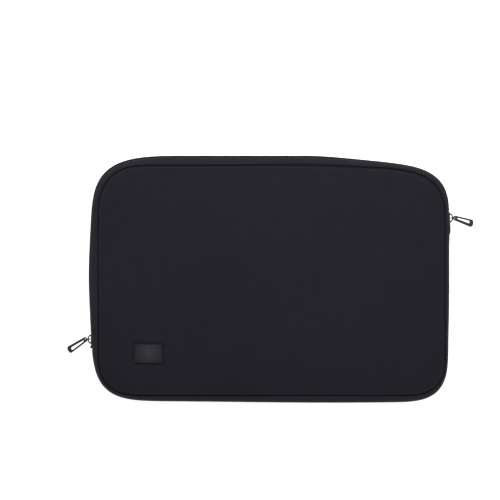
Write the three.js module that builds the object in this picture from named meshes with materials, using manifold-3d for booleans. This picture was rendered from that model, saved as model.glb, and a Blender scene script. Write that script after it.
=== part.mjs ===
// A padded neoprene laptop sleeve, lying flat on its back panel, with its two zip sliders parked at the
// two ends of an open zip. Millimetres, +X right, +Y towards the zip side, +Z up out of the front panel.
// The origin is on the back panel's resting face.
import * as THREE from 'three';
import { mergeVertices } from 'three/addons/utils/BufferGeometryUtils.js';
import Module from 'manifold-3d';

const wasm = await Module();
wasm.setup();

// The widest line round the side wall, half way up it, and the seam line where each panel meets the wall.
// The top of each slopes down towards the right by drop, between from and to.
const EDGE = {
  left: -204, right: 206, bottom: -141, top: 141,
  slope: { drop: 9, from: 40, to: 160 },
  corners: {
    topRight: { reachX: 110, reachY: 66, power: 3.2 },
    topLeft: { reachX: 95, reachY: 90, power: 3.4 },
    bottomLeft: { reachX: 82, reachY: 80, power: 3.3 },
    bottomRight: { reachX: 70, reachY: 68, power: 3.4 },
  },
};
const SEAM = {
  left: -196, right: 200.5, bottom: -133.5, top: 130,
  slope: { drop: 5, from: 20, to: 200 },
  corners: {
    topRight: { reachX: 84, reachY: 64, power: 3.0 },
    topLeft: { reachX: 60, reachY: 65, power: 2.8 },
    bottomLeft: { reachX: 50, reachY: 45, power: 2.5 },
    bottomRight: { reachX: 52, reachY: 50, power: 3.0 },
  },
};
const CORNER_STEPS = 10;

// Heights. The side wall is half an ellipse from the back seam to the front seam.
const MID_HEIGHT = 14;
const WALL_RISE = 12;
const FRONT_EDGE_HEIGHT = 25.4;
const FRONT_CROWN = 3.6;
const FRONT_CROWN_REACH = 18;
const BACK_EDGE_LIFT = 1.5;
const BACK_LIFT_REACH = 12;

// Fabric thicknesses, and the gap kept between neighbours.
const GAP = 0.3;
const OUTER_THICKNESS = 1.0;
const FOAM_THICKNESS = 3.0;
const LINING_THICKNESS = 0.6;
const WALL_THICKNESS = 2.2;
const TAPE_THICKNESS = 0.6;
const SEAM_ALLOWANCE = 3.3;

// Zip: half widths are measured from the zip's middle line, depths inward from the widest line.
const ZIP_MOUTH_HALF = 6.0;
const COIL_INNER_HALF = 1.5;
const COIL_OUTER_HALF = 3.5;
const TAPE_DEPTH = 3.2;
const COIL_DEPTH = 1.1;

// Two slanting lines cross the front, given by their height on the left and on the right edge: the zip
// ends below the first, and the front panel folds back along the second.
const ZIP_END_LINE = { left: -80, right: 50 };
const FOLD_LINE = { left: -59, right: 79 };
const FAR = 600;

// Sliders and what hangs on them.
const LEFT_SLIDER_Y = -69;
const RIGHT_SLIDER_Y = 70;
const SLIDER = {
  length: 13, noseHalf: 4.4, tailHalf: 3.6, plate: 1.4, depth: 0.7, clearance: 0.5,
  flange: 0.55, flangeDrop: 1.6, flangeLength: 5, postLength: 4.3,
};
const CROWN = { halfSpan: 4.6, height: 3.0, wire: 0.8 };
const LINK = { radius: 2.4, wire: 0.6, offset: 0.8 };
const PULL = {
  length: 25.5, eye: 1.1, nearWall: 0.9, nearBend: 2.6, nearHalf: 2.85, farBend: 2.8, farHalf: 4.3,
  thickness: 1.8, wideRail: 3.2, thinRail: 2.2, bridge: 2.0, slotLow: -0.2, slotHigh: 1.0, farBar: 4.3,
};
const LEFT_DROOP = 17.5;
const RIGHT_DROOP = 27;
const LEFT_YAW = 32;
const RIGHT_YAW = -15;

// Small fittings.
const TAB_STAND = 0.8;
const STOP_LENGTH = 2.6;
const LABEL = { x: -138.2, y: -85.0, width: 32, height: 21.3, thickness: 1.0, radius: 1.6, tilt: -2 };

const FABRIC = { roughness: 0.92, metalness: 0 };
const METAL = { roughness: 0.35, metalness: 0.9 };
const COLOURS = {
  outer: 0x25242a, foam: 0x303036, lining: 0x2a2930, binding: 0x1d1c21, wall: 0x2f2e35,
  tape: 0x1c1b20, coil: 0x18171c, tab: 0x232228, stop: 0x3a3a3e, label: 0x343339, metal: 0x3d3b40,
};

const sleeve = new THREE.Group();

function addPart(parent, name, geometry, colour, finish) {
  const material = new THREE.MeshStandardMaterial({ color: colour, ...finish });
  const mesh = new THREE.Mesh(geometry, material);
  mesh.name = name;
  parent.add(mesh);
  return mesh;
}

// Outlines. Each corner is a quarter of a superellipse, with its points eased towards its ends so that they
// are evenly spaced. Both outlines have the same number of points, so a point of one has its partner on
// the other.
function cornerPoints(box, corner, signX, signY, startsOnSide) {
  const cornerX = signX > 0 ? box.right : box.left;
  const cornerY = signY > 0 ? box.top : box.bottom;
  const exponent = 2 / corner.power;
  const points = [];
  for (let step = 0; step <= CORNER_STEPS; step++) {
    const part = (startsOnSide ? step : CORNER_STEPS - step) / CORNER_STEPS;
    const angle = THREE.MathUtils.smoothstep(part, 0, 1) * Math.PI / 2;
    points.push(new THREE.Vector2(
      cornerX - signX * corner.reachX * (1 - Math.cos(angle) ** exponent),
      cornerY - signY * corner.reachY * (1 - Math.sin(angle) ** exponent),
    ));
  }
  return points;
}

function sloped(point, box) {
  const share = THREE.MathUtils.smoothstep(point.x, box.slope.from, box.slope.to);
  const drop = box.slope.drop * share * Math.max(0, point.y / box.top);
  return new THREE.Vector2(point.x, point.y - drop);
}

function outline(box) {
  const points = [
    ...cornerPoints(box, box.corners.topRight, 1, 1, true),
    ...cornerPoints(box, box.corners.topLeft, -1, 1, false),
    ...cornerPoints(box, box.corners.bottomLeft, -1, -1, true),
    ...cornerPoints(box, box.corners.bottomRight, 1, -1, false),
  ];
  return points.map((point) => sloped(point, box));
}

const edgeOutline = outline(EDGE);
const seamOutline = outline(SEAM);

function outwardNormals(points) {
  const count = points.length;
  return points.map((point, index) => {
    const before = point.clone().sub(points[(index + count - 1) % count]).normalize();
    const after = points[(index + 1) % count].clone().sub(point).normalize();
    const along = before.add(after).normalize();
    return new THREE.Vector2(along.y, -along.x);
  });
}

const edgeNormals = outwardNormals(edgeOutline);
const seamNormals = outwardNormals(seamOutline);

// The seam outline drawn in about its middle until its sides have moved in by inset.
function insetSeam(inset) {
  const middle = new THREE.Vector2((SEAM.left + SEAM.right) / 2, (SEAM.bottom + SEAM.top) / 2);
  const scaleX = 1 - 2 * inset / (SEAM.right - SEAM.left);
  const scaleY = 1 - 2 * inset / (SEAM.top - SEAM.bottom);
  return seamOutline.map((point) => new THREE.Vector2(
    middle.x + (point.x - middle.x) * scaleX,
    middle.y + (point.y - middle.y) * scaleY,
  ));
}

// Meshes from rings of points. Faces are turned outwards by the sign of the volume.
function closedGeometry(positions, triangles) {
  let volume = 0;
  const corner = (index) => new THREE.Vector3().fromArray(positions, index * 3);
  for (const [a, b, c] of triangles) {
    volume += corner(a).dot(corner(b).cross(corner(c)));
  }
  const index = triangles.flatMap(([a, b, c]) => (volume > 0 ? [a, b, c] : [a, c, b]));
  const geometry = new THREE.BufferGeometry();
  geometry.setAttribute('position', new THREE.Float32BufferAttribute(positions, 3));
  geometry.setIndex(index);
  return geometry;
}

function bandTriangles(firstRing, secondRing, count) {
  const triangles = [];
  for (let i = 0; i < count; i++) {
    const next = (i + 1) % count;
    const a = firstRing * count + i;
    const b = firstRing * count + next;
    const c = secondRing * count + next;
    const d = secondRing * count + i;
    triangles.push([a, b, c], [a, c, d]);
  }
  return triangles;
}

// A plate between two surfaces: rings run from the middle of one face over the rim to the other's middle.
function plateGeometry(lowerRings, upperRings) {
  const rings = [...lowerRings, ...upperRings.toReversed()];
  const count = rings[0].length;
  const positions = rings.flatMap((ring) => ring.flatMap((point) => point.toArray()));
  const triangles = [];
  for (let ring = 0; ring + 1 < rings.length; ring++) {
    triangles.push(...bandTriangles(ring, ring + 1, count));
  }
  const lastRing = (rings.length - 1) * count;
  for (let i = 1; i + 1 < count; i++) {
    triangles.push([0, i + 1, i], [lastRing, lastRing + i, lastRing + i + 1]);
  }
  return closedGeometry(positions, triangles);
}

// A section swept once round the sleeve. Its points say how far out of the seam line towards the widest
// line they are (out, 0 to 1), how far they shift along the outward normal, and their height.
function sweptGeometry(section, normals = edgeNormals) {
  const rings = section.map(({ out, shift, z }) => edgeOutline.map((edgePoint, index) => {
    const place = seamOutline[index].clone().lerp(edgePoint, out).addScaledVector(normals[index], shift);
    return new THREE.Vector3(place.x, place.y, z);
  }));
  const count = edgeOutline.length;
  const positions = rings.flatMap((ring) => ring.flatMap((point) => point.toArray()));
  const triangles = rings.flatMap((ring, index) => bandTriangles(index, (index + 1) % rings.length, count));
  return closedGeometry(positions, triangles);
}

// Solids for cutting and joining.
function toSolid(geometry) {
  const bare = geometry.clone();
  bare.deleteAttribute('normal');
  bare.deleteAttribute('uv');
  const merged = mergeVertices(bare);
  return new wasm.Manifold(new wasm.Mesh({
    numProp: 3,
    vertProperties: new Float32Array(merged.attributes.position.array),
    triVerts: new Uint32Array(merged.index.array),
  }));
}

function toGeometry(solid) {
  const mesh = solid.getMesh();
  const geometry = new THREE.BufferGeometry();
  geometry.setAttribute('position', new THREE.Float32BufferAttribute(mesh.vertProperties, 3));
  geometry.setIndex(Array.from(mesh.triVerts));
  return geometry;
}

function lineAngle(line) {
  return Math.atan2(line.right - line.left, EDGE.right - EDGE.left);
}

// Everything on one side (+1 above, -1 below) of a slanting line, half a gap clear of it.
function halfSpace(line, side) {
  const box = new THREE.BoxGeometry(2 * FAR, FAR, FAR);
  box.translate(0, side * (FAR + GAP) / 2, 0);
  box.rotateZ(lineAngle(line));
  box.translate((EDGE.left + EDGE.right) / 2, (line.left + line.right) / 2, 0);
  return toSolid(box);
}

// The left (-1) or right (+1) half of space.
function sideSpace(side) {
  const box = new THREE.BoxGeometry(FAR, 2 * FAR, FAR);
  box.translate(side * FAR / 2, 0, 0);
  return toSolid(box);
}

const aboveZipEnds = halfSpace(ZIP_END_LINE, 1);
const belowZipEnds = halfSpace(ZIP_END_LINE, -1);
const aboveFold = halfSpace(FOLD_LINE, 1);
const belowFold = halfSpace(FOLD_LINE, -1);
const leftSide = sideSpace(-1);
const rightSide = sideSpace(1);

function cut(geometry, ...spaces) {
  return toGeometry(spaces.reduce((solid, space) => solid.intersect(space), toSolid(geometry)));
}

// Panels.
const frontHeight = (inset) => FRONT_EDGE_HEIGHT + FRONT_CROWN * (1 - Math.exp(-inset / FRONT_CROWN_REACH));
const backHeight = (inset) => BACK_EDGE_LIFT * Math.max(0, 1 - inset / BACK_LIFT_REACH) ** 2;

function ringsAt(insets, height) {
  return insets.map((inset) => insetSeam(inset).map((p) => new THREE.Vector3(p.x, p.y, height(inset))));
}

const FRONT_RING_STEPS = [75, 42, 20, 8];
const BACK_RING_STEPS = [BACK_LIFT_REACH, 6];

function frontLayer(depth, thickness, rim) {
  const insets = [...FRONT_RING_STEPS, rim];
  return plateGeometry(
    ringsAt(insets, (inset) => frontHeight(inset) - depth - thickness),
    ringsAt(insets, (inset) => frontHeight(inset) - depth),
  );
}

function backLayer(depth, thickness, rim) {
  const insets = [...BACK_RING_STEPS, rim];
  return plateGeometry(
    ringsAt(insets, (inset) => backHeight(inset) + depth),
    ringsAt(insets, (inset) => backHeight(inset) + depth + thickness),
  );
}

const PANEL_LAYERS = [
  { name: 'outer', depth: 0, thickness: OUTER_THICKNESS, rim: GAP },
  { name: 'foam', depth: OUTER_THICKNESS + GAP, thickness: FOAM_THICKNESS, rim: SEAM_ALLOWANCE },
  {
    name: 'lining', depth: OUTER_THICKNESS + FOAM_THICKNESS + 2 * GAP,
    thickness: LINING_THICKNESS, rim: SEAM_ALLOWANCE,
  },
];

function addPanels() {
  for (const { name, depth, thickness, rim } of PANEL_LAYERS) {
    const colour = COLOURS[name];
    addPart(sleeve, `back_${name}`, backLayer(depth, thickness, rim), colour, FABRIC);
    const front = frontLayer(depth, thickness, rim);
    addPart(sleeve, `front_${name}_lower`, cut(front, belowFold), colour, FABRIC);
    addPart(sleeve, `front_${name}_flap`, cut(front, aboveFold), colour, FABRIC);
  }
}

// Binding tape round the inside of each seam.
const BINDING = { innerShift: -2.8, outerShift: -0.2, seamGap: 3.2, height: 3 };

function bindingGeometry(direction) {
  const near = MID_HEIGHT + direction * (WALL_RISE - BINDING.seamGap);
  const far = near - direction * BINDING.height;
  return sweptGeometry([
    { out: 0, shift: BINDING.outerShift, z: near },
    { out: 0, shift: BINDING.innerShift, z: near },
    { out: 0, shift: BINDING.innerShift, z: far },
    { out: 0, shift: BINDING.outerShift, z: far },
  ], seamNormals);
}

function addBindings() {
  addPart(sleeve, 'back_binding', bindingGeometry(-1), COLOURS.binding, FABRIC);
  const front = bindingGeometry(1);
  addPart(sleeve, 'front_binding_lower', cut(front, belowFold), COLOURS.binding, FABRIC);
  addPart(sleeve, 'front_binding_flap', cut(front, aboveFold), COLOURS.binding, FABRIC);
}

// Side wall. Angle 0 is the front seam, 90 degrees the widest line, 180 the back seam.
const WALL_START = 4;
const WALL_STEPS = 6;
const degrees = THREE.MathUtils.degToRad;
const MOUTH_ANGLE = THREE.MathUtils.radToDeg(Math.acos(ZIP_MOUTH_HALF / WALL_RISE));

function wallPoint(angle, depth) {
  const turn = degrees(angle);
  return {
    out: Math.sin(turn),
    shift: -depth * Math.sin(turn),
    z: MID_HEIGHT + (WALL_RISE - depth) * Math.cos(turn),
  };
}

function wallGeometry(startAngle, endAngle, steps) {
  const angles = Array.from({ length: steps + 1 }, (_, i) => startAngle + (endAngle - startAngle) * i / steps);
  const outer = angles.map((angle) => wallPoint(angle, 0));
  const inner = angles.toReversed().map((angle) => wallPoint(angle, WALL_THICKNESS));
  return sweptGeometry([...outer, ...inner]);
}

function addWalls() {
  const whole = wallGeometry(WALL_START, 180 - WALL_START, WALL_STEPS);
  addPart(sleeve, 'lower_gusset', cut(whole, belowZipEnds), COLOURS.wall, FABRIC);
  const backHalf = wallGeometry(180 - MOUTH_ANGLE, 180 - WALL_START, WALL_STEPS / 2);
  addPart(sleeve, 'zip_gusset_back', cut(backHalf, aboveZipEnds), COLOURS.wall, FABRIC);
  const frontHalf = wallGeometry(WALL_START, MOUTH_ANGLE, WALL_STEPS / 2);
  addFrontHalf('zip_gusset_front', frontHalf, COLOURS.wall, FABRIC);
}

// The front half of anything along the zip is a flap above the fold line and a short end on each side.
function addFrontHalf(name, geometry, colour, finish) {
  addPart(sleeve, `${name}_flap`, cut(geometry, aboveFold), colour, finish);
  const ends = cut(geometry, aboveZipEnds, belowFold);
  addPart(sleeve, `${name}_left_end`, cut(ends, leftSide), colour, finish);
  addPart(sleeve, `${name}_right_end`, cut(ends, rightSide), colour, finish);
}

// Zip tapes and coils. The tape follows the inside of the wall, then runs straight to its coil.
const TAPE_START_ANGLE = 38;
const TAPE_BEND_HALF = 3.7;
const TAPE_EDGE_HALF = 1.4;

function tapeSide(direction, depth) {
  const bendAngles = [TAPE_START_ANGLE, (TAPE_START_ANGLE + MOUTH_ANGLE) / 2, MOUTH_ANGLE];
  const wallDepth = WALL_THICKNESS + GAP + depth;
  return [
    ...bendAngles.map((angle) => wallPoint(direction > 0 ? angle : 180 - angle, wallDepth)),
    { out: 1, shift: -TAPE_DEPTH - depth, z: MID_HEIGHT + direction * TAPE_BEND_HALF },
    { out: 1, shift: -TAPE_DEPTH - depth, z: MID_HEIGHT + direction * TAPE_EDGE_HALF },
  ];
}

function tapeGeometry(direction) {
  return sweptGeometry([...tapeSide(direction, 0), ...tapeSide(direction, TAPE_THICKNESS).toReversed()]);
}

function coilGeometry(direction) {
  const depths = [TAPE_DEPTH - GAP, COIL_DEPTH];
  const middleDepth = (depths[0] + depths[1]) / 2;
  const middleHalf = (COIL_INNER_HALF + COIL_OUTER_HALF) / 2;
  const sides = 8;
  return sweptGeometry(Array.from({ length: sides }, (_, i) => {
    const turn = (i + 0.5) / sides * 2 * Math.PI;
    const reach = 1 / Math.cos(Math.PI / sides);
    return {
      out: 1,
      shift: -middleDepth + Math.cos(turn) * reach * (depths[0] - depths[1]) / 2,
      z: MID_HEIGHT + direction * (middleHalf + Math.sin(turn) * reach * (COIL_OUTER_HALF - COIL_INNER_HALF) / 2),
    };
  }));
}

function addZip() {
  addPart(sleeve, 'zip_tape_back', cut(tapeGeometry(-1), aboveZipEnds), COLOURS.tape, FABRIC);
  addPart(sleeve, 'zip_coil_back', cut(coilGeometry(-1), aboveZipEnds), COLOURS.coil, FABRIC);
  addFrontHalf('zip_tape_front', tapeGeometry(1), COLOURS.tape, FABRIC);
  addFrontHalf('zip_coil_front', coilGeometry(1), COLOURS.coil, FABRIC);
}

// A box beside the left or right edge: reach is how far out of the widest line it runs, from and to.
function edgeBox(sign, reach, yRange, halfHeight) {
  const edge = sign > 0 ? EDGE.right : EDGE.left;
  const box = new THREE.BoxGeometry(reach[1] - reach[0], yRange[1] - yRange[0], 2 * halfHeight);
  box.translate(edge + sign * (reach[0] + reach[1]) / 2, (yRange[0] + yRange[1]) / 2, MID_HEIGHT);
  return box;
}

// A fabric tab folded over each end of the zip, and the stop between the coils under it.
const TABS = [
  { side: 'left', sign: -1, from: -79.2, to: -76.2 },
  { side: 'right', sign: 1, from: 51.4, to: 61 },
];

function addZipEnds() {
  const tabReach = [-COIL_DEPTH + GAP, TAB_STAND];
  const tabHalf = ZIP_MOUTH_HALF - 2 * GAP;
  const stopReach = [-TAPE_DEPTH + GAP, -COIL_DEPTH];
  const stopHalf = COIL_INNER_HALF - GAP;
  for (const { side, sign, from, to } of TABS) {
    addPart(sleeve, `zip_end_tab_${side}`, edgeBox(sign, tabReach, [from, to], tabHalf), COLOURS.tab, FABRIC);
    const middle = (from + to) / 2;
    const stopRange = [middle - STOP_LENGTH / 2, middle + STOP_LENGTH / 2];
    addPart(sleeve, `zip_stop_${side}`, edgeBox(sign, stopReach, stopRange, stopHalf), COLOURS.stop, METAL);
  }
}

// Slider: two plates joined by a post, with a flange along each side of the outer plate and a crown loop.
// Built for the right edge, with the widest line at x = 0 and its nose towards +Y.
function sliderPlate(thickness) {
  const half = SLIDER.length / 2;
  const shape = new THREE.Shape();
  shape.moveTo(-SLIDER.tailHalf, -half);
  shape.lineTo(SLIDER.tailHalf, -half);
  shape.lineTo(SLIDER.noseHalf, 0);
  shape.quadraticCurveTo(SLIDER.noseHalf, half, 0, half);
  shape.quadraticCurveTo(-SLIDER.noseHalf, half, -SLIDER.noseHalf, 0);
  const plate = new THREE.ExtrudeGeometry(shape, { depth: thickness, bevelEnabled: false, curveSegments: 6 });
  plate.rotateY(Math.PI / 2);
  return plate;
}

function crownGeometry() {
  const base = SLIDER.depth - CROWN.wire;
  const top = SLIDER.depth + CROWN.height;
  const path = new THREE.CurvePath();
  const foot = (sign) => new THREE.Vector3(base, sign * CROWN.halfSpan, 0);
  const shoulder = (sign) => new THREE.Vector3(top, sign * CROWN.halfSpan, 0);
  const middle = new THREE.Vector3(top, 0, 0);
  path.add(new THREE.QuadraticBezierCurve3(foot(-1), shoulder(-1), middle));
  path.add(new THREE.QuadraticBezierCurve3(middle, shoulder(1), foot(1)));
  const section = new THREE.Shape().absarc(0, 0, CROWN.wire, 0, 2 * Math.PI);
  return new THREE.ExtrudeGeometry(section, { steps: 16, extrudePath: path, curveSegments: 4 });
}

function sliderGeometry() {
  const innerPlateTop = -TAPE_DEPTH - TAPE_THICKNESS - SLIDER.clearance;
  const outerPlate = sliderPlate(SLIDER.plate).translate(-SLIDER.depth, 0, 0);
  const innerPlate = sliderPlate(SLIDER.plate).translate(innerPlateTop - SLIDER.plate, 0, 0);
  const postDepth = SLIDER.depth - innerPlateTop;
  const post = new THREE.BoxGeometry(postDepth, SLIDER.postLength, 2 * (COIL_INNER_HALF - 2 * GAP));
  post.translate(innerPlateTop + postDepth / 2 - SLIDER.depth / 2, SLIDER.length / 4, 0);
  const flanges = [-1, 1].map((sign) => {
    const flange = new THREE.BoxGeometry(SLIDER.flangeDrop + SLIDER.depth, SLIDER.flangeLength, SLIDER.flange);
    const place = SLIDER.noseHalf - SLIDER.flange / 2;
    return flange.translate(-(SLIDER.flangeDrop + SLIDER.depth) / 2, 0, sign * place);
  });
  const pieces = [outerPlate, innerPlate, post, ...flanges, crownGeometry()].map(toSolid);
  return toGeometry(pieces.reduce((whole, piece) => whole.add(piece)));
}

// Pull: a flat tapered loop with a small eye, and one rail thicker than the other. +X runs to its far end.
function pullGeometry() {
  const nearMiddle = PULL.nearBend - PULL.eye - PULL.nearWall;
  const farMiddle = PULL.length - PULL.farBend;
  const shape = new THREE.Shape();
  shape.absellipse(nearMiddle, 0, PULL.nearBend, PULL.nearHalf, Math.PI / 2, 3 * Math.PI / 2);
  shape.lineTo(farMiddle, -PULL.farHalf);
  shape.absellipse(farMiddle, 0, PULL.farBend, PULL.farHalf, -Math.PI / 2, Math.PI / 2);
  shape.lineTo(nearMiddle, PULL.nearHalf);
  shape.holes.push(new THREE.Path().absarc(0, 0, PULL.eye, 0, 2 * Math.PI, true));
  const slotStart = PULL.eye + PULL.bridge;
  const slotFarLow = PULL.wideRail - PULL.farHalf;
  const slotFarHigh = PULL.farHalf - PULL.thinRail;
  const slotRadius = (slotFarHigh - slotFarLow) / 2;
  const slotRoundX = PULL.length - PULL.farBar - slotRadius;
  const slot = new THREE.Path();
  slot.moveTo(slotStart, PULL.slotLow);
  slot.lineTo(slotStart, PULL.slotHigh);
  slot.lineTo(slotRoundX, slotFarHigh);
  slot.absarc(slotRoundX, slotFarHigh - slotRadius, slotRadius, Math.PI / 2, -Math.PI / 2, true);
  slot.lineTo(slotStart, PULL.slotLow);
  shape.holes.push(slot);
  const options = { depth: PULL.thickness, bevelEnabled: false, curveSegments: 8 };
  return new THREE.ExtrudeGeometry(shape, options).translate(0, 0, -PULL.thickness / 2);
}

// A slider with its link ring and pull. The ring hangs on the crown's bar and droops about it; the pull's
// eye sits on the ring's outer side and turns about the wire there.
function addSlider(side, sign, y, droop, yaw) {
  const edge = sign > 0 ? EDGE.right : EDGE.left;
  const body = new THREE.Group();
  body.position.set(edge, y, MID_HEIGHT);
  body.rotation.y = sign > 0 ? 0 : Math.PI;
  sleeve.add(body);
  addPart(body, `${side}_slider`, sliderGeometry(), COLOURS.metal, METAL);

  const heading = new THREE.Group();
  heading.position.set(edge + sign * (SLIDER.depth + CROWN.height), y, MID_HEIGHT);
  heading.rotation.z = sign > 0 ? 0 : Math.PI;
  sleeve.add(heading);
  const hanging = new THREE.Group();
  hanging.rotation.y = degrees(droop);
  heading.add(hanging);
  const ring = new THREE.TorusGeometry(LINK.radius, LINK.wire, 8, 20);
  ring.rotateX(Math.PI / 2).translate(LINK.offset, 0, 0);
  addPart(hanging, `${side}_link_ring`, ring, COLOURS.metal, METAL);

  const turned = new THREE.Group();
  turned.position.x = LINK.offset + LINK.radius;
  turned.rotation.z = degrees(yaw);
  hanging.add(turned);
  addPart(turned, `${side}_pull`, pullGeometry(), COLOURS.metal, METAL);
}

// Label: a small blank leather patch.
function addLabel() {
  const halfWidth = LABEL.width / 2 - LABEL.radius;
  const halfHeight = LABEL.height / 2 - LABEL.radius;
  const shape = new THREE.Shape();
  shape.absarc(halfWidth, halfHeight, LABEL.radius, 0, Math.PI / 2);
  shape.absarc(-halfWidth, halfHeight, LABEL.radius, Math.PI / 2, Math.PI);
  shape.absarc(-halfWidth, -halfHeight, LABEL.radius, Math.PI, 1.5 * Math.PI);
  shape.absarc(halfWidth, -halfHeight, LABEL.radius, 1.5 * Math.PI, 2 * Math.PI);
  const patch = new THREE.ExtrudeGeometry(shape, { depth: LABEL.thickness, bevelEnabled: false, curveSegments: 4 });
  const mesh = addPart(sleeve, 'label_patch', patch, COLOURS.label, { roughness: 0.6, metalness: 0 });
  mesh.position.set(LABEL.x, LABEL.y, FRONT_EDGE_HEIGHT + FRONT_CROWN + GAP);
  mesh.rotation.z = degrees(LABEL.tilt);
}

addPanels();
addBindings();
addWalls();
addZip();
addZipEnds();
addLabel();
addSlider('left', -1, LEFT_SLIDER_Y, LEFT_DROOP, LEFT_YAW);
addSlider('right', 1, RIGHT_SLIDER_Y, RIGHT_DROOP, RIGHT_YAW);

export default sleeve;
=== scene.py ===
"""Looks of a padded neoprene laptop sleeve that lies on its back panel with its zip open.

Shapes are worked out in millimetres and written to meshes in metres. +X is right, +Y is towards the zip side
and +Z is up out of the front panel.
"""

import math

import bmesh
import bpy
import numpy as np
from mathutils import Matrix, Vector, noise


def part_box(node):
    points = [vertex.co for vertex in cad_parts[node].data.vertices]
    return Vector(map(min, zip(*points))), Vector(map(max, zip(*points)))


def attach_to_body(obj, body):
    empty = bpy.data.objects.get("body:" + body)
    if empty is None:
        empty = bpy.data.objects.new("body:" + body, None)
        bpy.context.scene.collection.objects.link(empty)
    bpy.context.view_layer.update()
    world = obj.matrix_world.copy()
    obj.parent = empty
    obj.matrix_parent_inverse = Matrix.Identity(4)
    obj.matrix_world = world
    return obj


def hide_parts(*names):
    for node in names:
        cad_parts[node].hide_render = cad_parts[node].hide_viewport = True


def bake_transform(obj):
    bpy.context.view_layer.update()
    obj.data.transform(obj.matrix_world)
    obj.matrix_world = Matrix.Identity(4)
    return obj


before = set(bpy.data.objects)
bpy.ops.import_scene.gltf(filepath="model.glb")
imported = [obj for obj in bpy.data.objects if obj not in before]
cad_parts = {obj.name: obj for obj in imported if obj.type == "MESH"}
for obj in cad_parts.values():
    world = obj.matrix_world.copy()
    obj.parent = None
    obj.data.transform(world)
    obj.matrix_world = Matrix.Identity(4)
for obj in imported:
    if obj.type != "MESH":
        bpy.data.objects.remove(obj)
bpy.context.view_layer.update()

MM = 0.001

# The widest line round the side wall and the seam line where each panel meets the wall. A corner is a quarter
# of a superellipse: (reach along X, reach along Y, power). The slope down to the right is (drop, from, to).
EDGE = {
    "left": -203.5, "right": 206.0, "bottom": -139.8, "top": 141.6, "slope": (7.8, 40, 160),
    "top_right": (104, 68, 3.15), "top_left": (117, 90, 3.8),
    "bottom_left": (101, 105, 4.4), "bottom_right": (70, 64, 3.45),
}
SEAM = {
    "left": -196, "right": 200.5, "bottom": -133.5, "top": 130, "slope": (5, 20, 200),
    "top_right": (84, 64, 3.0), "top_left": (60, 65, 2.8),
    "bottom_left": (50, 45, 2.5), "bottom_right": (52, 50, 3.0),
}
CORNER_SAMPLES = 300
CORNER_POINTS = 40
LONG_SIDE_POINTS = 76
SHORT_SIDE_POINTS = 50

# Where the soft wall swells out of its outline: (how far, its middle, its reach) along each side. The right
# side also leans in towards the bottom. A span is where a point starts to count as being on a side, and where
# it fully does.
LEFT_SWELL = (3.8, 4, 66)
BOTTOM_SWELL = (2.0, 68, 145)
RIGHT_SWELL = (1.4, 60, 11)
RIGHT_LEAN, RIGHT_LEAN_START, RIGHT_LEAN_REACH = 1.2, -10, 85
LEFT_SPAN, RIGHT_SPAN, BOTTOM_SPAN = (120, 190), (150, 200), (90, 135)

# Heights of the layers.
MID_HEIGHT = 14
WALL_RISE = 12
WALL_THICKNESS = 2.2
FRONT_EDGE_HEIGHT = 25.4
FRONT_CROWN = 3.6
FRONT_CROWN_REACH = 18
BACK_EDGE_LIFT = 1.5
BACK_LIFT_REACH = 12
COVER_THICKNESS = 1.0
FOAM_TOP, FOAM_THICKNESS = 1.3, 3.0
LINING_TOP, LINING_THICKNESS = 4.6, 0.6
LAYER_RIM = 3.3

# The seam groove: cover and wall both roll down into it.
GROOVE_REACH = 1.15
COVER_GROOVE_DEPTH = 2.0
WALL_GROOVE_DEPTH = 2.3

# Zip.
MOUTH_ANGLE = 56
HEM_SWELL = 3.5
TAPE_THICKNESS = 0.6
COIL_DEPTH = 1.0
COIL_HEIGHT = 2.5
COIL_PITCH = 1.3
COIL_RADII = (0.6, 0.72)
COIL_WIRE = 0.34
COIL_CORD = 0.6
LEFT_ZIP_END = -80
RIGHT_ZIP_END = 50

LABEL_MIDDLE = (-138.2, -85.0)
LABEL_SIZE = (32, 21.3)
LABEL_THICKNESS = 1.0
LABEL_RADIUS = 1.6
LABEL_TILT = -2
LABEL_BORDER_INSET = 1.5
# The point in millimetres that the label's painted highlight is centred on.
LABEL_PAINTED_HIGHLIGHT = (-137.5, -82.5, 29)
LABEL_DIMPLE, LABEL_DIMPLE_OUT, LABEL_DIMPLE_REACH = 1.1, 0.6, 1.5

STITCH_PITCH = 3.3
STITCH_LENGTH = 2.5
STITCH_RADIUS = 0.28
STITCH_DIMPLE, STITCH_DIMPLE_REACH = 0.22, 0.9
SEAM_STITCH_INSET = 2.8
HEM_STITCH_ANGLE = 42


# FOLD stands for a body in attach: a piece given it only has its placement baked into its mesh. What goes
# round the sleeve has a front half that folds and a back half that stays. Each half has its name, its way
# along Z and its body.
FOLD = "fold"
HALVES = (("front", 1, FOLD), ("back", -1, "back"))
SIDES = (("left", -1), ("right", 1))


def smoothstep(value, low=0.0, high=1.0):
    share = np.clip((np.asarray(value, float) - low) / (high - low), 0, 1)
    return share * share * (3 - 2 * share)


def bell(value, reach, middle=0.0):
    """A smooth hump that is 1 at its middle."""
    return np.exp(-(((value - middle) / reach) ** 2))


def unit(vectors):
    return vectors / np.linalg.norm(vectors, axis=1)[:, None]


def turns_round(count):
    """Evenly spaced angles round a circle."""
    return 2 * math.pi * np.arange(count) / count


def read_off(values, lengths, places):
    """Values given at lengths along a line, read off at other places along it."""
    return np.stack([np.interp(places, lengths, column) for column in values.T], 1)


# Outlines ----------

def corner_curve(box, name, starts_on_side):
    """One rounded corner of an outline, going anticlockwise."""
    reach_x, reach_y, power = box[name]
    sign_y, sign_x = (1 if part in ("top", "right") else -1 for part in name.split("_"))
    angle = np.linspace(0, math.pi / 2, CORNER_SAMPLES)
    if not starts_on_side:
        angle = angle[::-1]
    corner_x = box["right"] if sign_x > 0 else box["left"]
    corner_y = box["top"] if sign_y > 0 else box["bottom"]
    x = corner_x - sign_x * reach_x * (1 - np.cos(angle).clip(0) ** (2 / power))
    y = corner_y - sign_y * reach_y * (1 - np.sin(angle).clip(0) ** (2 / power))
    return np.stack([x, y], 1)


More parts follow.
